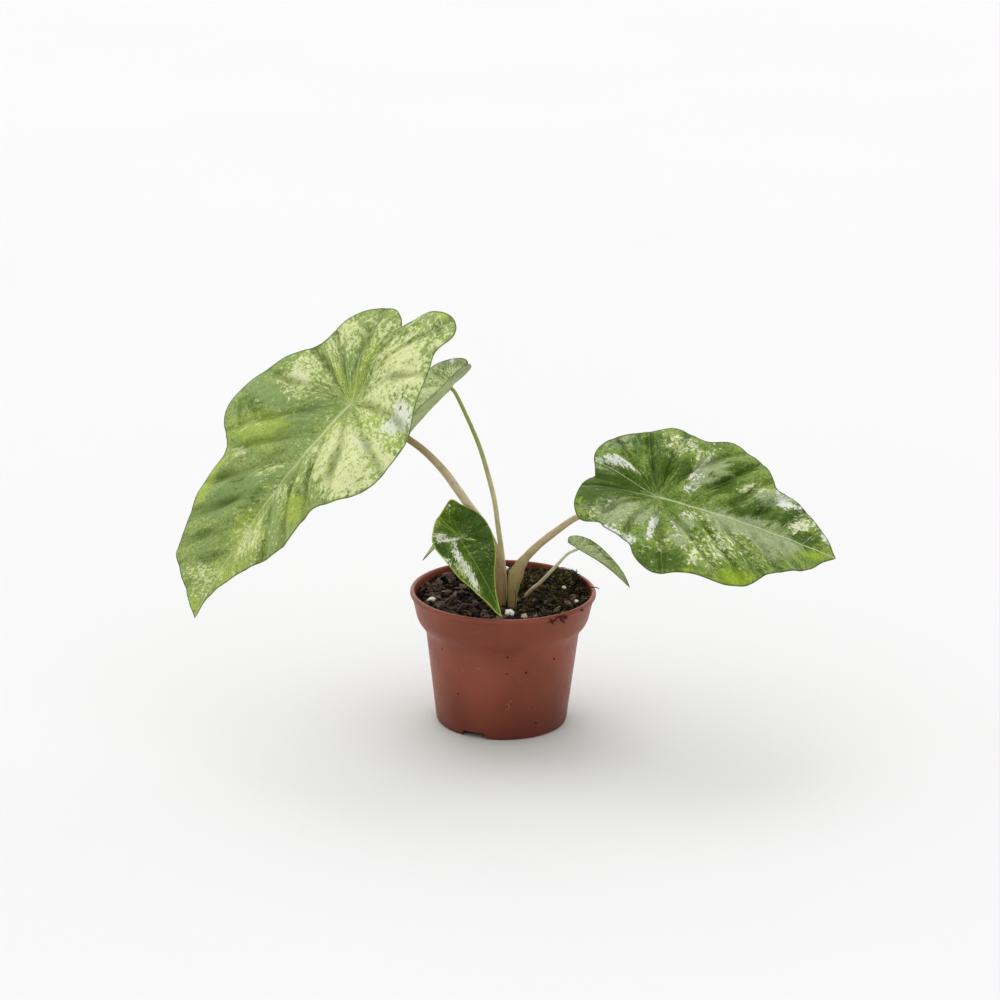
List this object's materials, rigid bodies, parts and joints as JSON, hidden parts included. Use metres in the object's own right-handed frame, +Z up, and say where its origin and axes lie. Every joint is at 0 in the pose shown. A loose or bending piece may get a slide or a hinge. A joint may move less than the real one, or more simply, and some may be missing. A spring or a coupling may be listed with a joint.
{
  "type": "potted alocasia plant",
  "caption": "Young elephant-ear house plant with marbled green and cream arrow-shaped leaves on arching stalks, rooted in bark mix in a terracotta-coloured plastic nursery pot.",
  "frame": {"origin": "on the ground at the middle of the pot's foot", "axes": "+Z up out of the pot, +X to the large right-hand leaf, and -Y toward the side the plant is usually seen from"},
  "size_m": [0.4172, 0.1814, 0.281],
  "materials": {
    "pot_plastic": "satin injection-moulded plastic, terracotta brown",
    "potting_mix": "coarse damp bark and peat mix with white perlite",
    "stalk": "smooth waxy skin, tan to olive",
    "leaf_light": "thin waxy leaf, cream and yellow-green marbling",
    "leaf_dark": "thin glossy leaf, dark green with white marbling"
  },
  "bodies": {
    "root": {"pot": "pot_plastic", "soil": "potting_mix", "stalk_1_large_left": "stalk", "stalk_2_folded_back": "stalk", "stalk_3_right": "stalk", "stalk_4_front": "stalk", "stalk_5_young_right": "stalk", "stalk_6_young_back": "stalk", "blade_1_large_left": "leaf_light", "blade_2_folded_back": "leaf_light", "blade_3_right": "leaf_dark", "blade_4_front": "leaf_dark", "blade_5_young_right": "leaf_light", "blade_6_young_back": "leaf_light"}
  },
  "joints": []
}
